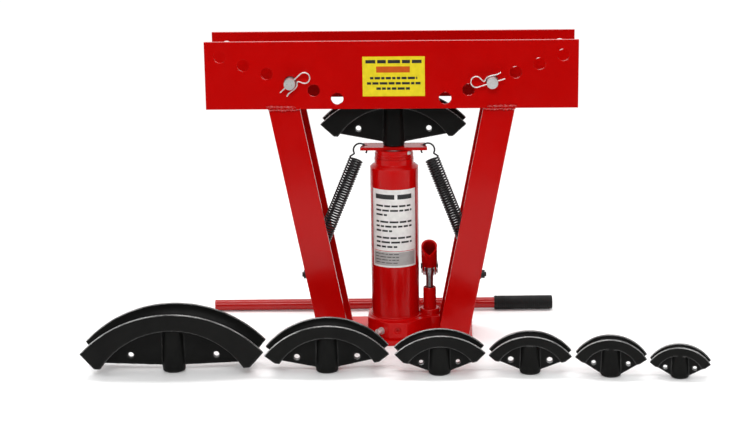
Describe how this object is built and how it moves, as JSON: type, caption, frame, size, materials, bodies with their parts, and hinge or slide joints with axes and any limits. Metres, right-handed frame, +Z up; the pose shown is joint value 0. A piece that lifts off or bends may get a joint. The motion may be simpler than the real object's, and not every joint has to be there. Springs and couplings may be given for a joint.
{
  "type": "hydraulic tube bender",
  "caption": "Red A-frame tube bender: bottle jack and pump, grooved former on its ram, two pinned rollers, return springs, loose formers and a lever.",
  "frame": {"origin": "middle of the base plate's underside", "axes": "+X along the cross-plates, to the right as the label is read; +Y to the back; +Z up"},
  "size_m": [0.9981, 0.3866, 0.508],
  "materials": {
    "frame_red": "gloss paint over mild steel",
    "jack_red": "gloss paint over cast and drawn steel",
    "former_black": "black paint over cast iron",
    "zinc_steel": "zinc-plated steel",
    "bright_steel": "ground steel",
    "spring_black": "black oiled spring steel",
    "black_oxide": "black oxide over steel",
    "roller_steel": "turned steel with black oxide",
    "grip_rubber": "moulded rubber",
    "seal_rubber": "oil-proof rubber",
    "label_yellow": "printed film",
    "label_white": "printed film"
  },
  "bodies": {
    "frame": {"base_plate": "frame_red", "left_leg": "frame_red", "right_leg": "frame_red", "front_plate": "frame_red", "back_plate": "frame_red", "caution_label": "label_yellow", "left_anchor_bolt": "black_oxide", "right_anchor_bolt": "black_oxide", "anchor_nuts": "black_oxide", "base_screws": "zinc_steel", "jack_base": "jack_red", "reservoir_tube": "jack_red", "pressure_cylinder": "bright_steel", "head_nut": "jack_red", "ram_wiper": "seal_rubber", "filler_plug": "seal_rubber", "jack_label": "label_white", "relief_valve_plug": "jack_red", "pump_cylinder": "jack_red", "pump_packing": "seal_rubber", "check_balls": "bright_steel", "link_foot_pin": "zinc_steel", "left_return_spring": "spring_black", "right_return_spring": "spring_black"},
    "ram_body": {"ram": "bright_steel", "piston_seal": "seal_rubber", "spring_plate": "frame_red"},
    "mounted_former": {"former_48": "former_black"},
    "left_pin": {"left_roller_pin": "zinc_steel"},
    "left_clip": {"left_pin_clip": "zinc_steel"},
    "left_roller_body": {"left_roller": "roller_steel"},
    "right_pin": {"right_roller_pin": "zinc_steel"},
    "right_clip": {"right_pin_clip": "zinc_steel"},
    "right_roller_body": {"right_roller": "roller_steel"},
    "link_body": {"pump_link": "jack_red", "link_pin": "zinc_steel"},
    "socket_body": {"handle_socket": "frame_red"},
    "plunger_body": {"pump_plunger": "bright_steel", "plunger_pin": "black_oxide", "plunger_cotters": "zinc_steel"},
    "valve_body": {"release_valve": "zinc_steel"},
    "loose_former_60": {"former_60": "former_black"},
    "loose_former_42": {"former_42": "former_black"},
    "loose_former_33": {"former_33": "former_black"},
    "loose_former_26": {"former_26": "former_black"},
    "loose_former_21": {"former_21": "former_black"},
    "loose_former_17": {"former_17": "former_black"},
    "lever": {"lever_tube": "frame_red", "lever_grip": "grip_rubber"}
  },
  "joints": [
    {"name": "ram_extend", "type": "slide", "parent": "frame", "child": "ram_body", "axis": [0, 0, 1], "range_m": [0, 0.21], "stiffness_N_per_m": 600, "springref_m": -0.05, "deforming": ["left_return_spring", "right_return_spring"]},
    {"name": "former_lift_48", "type": "slide", "parent": "ram_body", "child": "mounted_former", "axis": [0, 0, 1], "range_m": [0, 0.03]},
    {"name": "left_pin_float", "type": "slide", "parent": "frame", "child": "left_pin", "axis": [0, 1, 0], "range_m": [0, 0.007]},
    {"name": "left_clip_pull", "type": "slide", "parent": "left_pin", "child": "left_clip", "axis": [0.7431, 0, 0.6691], "range_m": [0, 0.032]},
    {"name": "left_roller_spin", "type": "hinge", "parent": "frame", "child": "left_roller_body", "pos_m": [-0.1623, 0, 0.4413], "axis": [0, 1, 0], "continuous": true},
    {"name": "right_pin_float", "type": "slide", "parent": "frame", "child": "right_pin", "axis": [0, 1, 0], "range_m": [0, 0.007]},
    {"name": "right_clip_pull", "type": "slide", "parent": "right_pin", "child": "right_clip", "axis": [-0.9563, 0, -0.2924], "range_m": [0, 0.032]},
    {"name": "right_roller_spin", "type": "hinge", "parent": "frame", "child": "right_roller_body", "pos_m": [0.1623, 0, 0.4413], "axis": [0, 1, 0], "continuous": true},
    {"name": "pump_stroke", "type": "hinge", "parent": "link_body", "child": "socket_body", "pos_m": [0.0595, 0.01966, 0.10493], "axis": [1, 0, 0], "range_deg": [0, 43.43]},
    {"name": "link_swing", "type": "hinge", "parent": "frame", "child": "link_body", "pos_m": [0.0595, 0.022, 0.034], "axis": [1, 0, 0], "range_deg": [-3.48, 0]},
    {"name": "plunger_slide", "type": "slide", "parent": "frame", "child": "plunger_body", "axis": [0, 0, -1], "range_m": [0, 0.01591]},
    {"name": "release_valve_turn", "type": "hinge", "parent": "frame", "child": "valve_body", "pos_m": [-0.02, -0.0474, 0.0198], "axis": [-0.6947, -0.7193, 0], "range_deg": [0, 180]},
    {"name": "lift_former_60", "type": "slide", "parent": "frame", "child": "loose_former_60", "axis": [0, 0, 1], "range_m": [0, 0.1]},
    {"name": "lift_former_42", "type": "slide", "parent": "frame", "child": "loose_former_42", "axis": [0, 0, 1], "range_m": [0, 0.1]},
    {"name": "lift_former_33", "type": "slide", "parent": "frame", "child": "loose_former_33", "axis": [0, 0, 1], "range_m": [0, 0.1]},
    {"name": "lift_former_26", "type": "slide", "parent": "frame", "child": "loose_former_26", "axis": [0, 0, 1], "range_m": [0, 0.1]},
    {"name": "lift_former_21", "type": "slide", "parent": "frame", "child": "loose_former_21", "axis": [0, 0, 1], "range_m": [0, 0.1]},
    {"name": "lift_former_17", "type": "slide", "parent": "frame", "child": "loose_former_17", "axis": [0, 0, 1], "range_m": [0, 0.1]},
    {"name": "lift_lever", "type": "slide", "parent": "frame", "child": "lever", "axis": [0, 0, 1], "range_m": [0, 0.1]}
  ],
  "couplings": [
    {"joint": "link_swing", "follows": "pump_stroke", "ratio": -0.079022},
    {"joint": "plunger_slide", "follows": "pump_stroke", "m_per_rad": 0.020919}
  ]
}
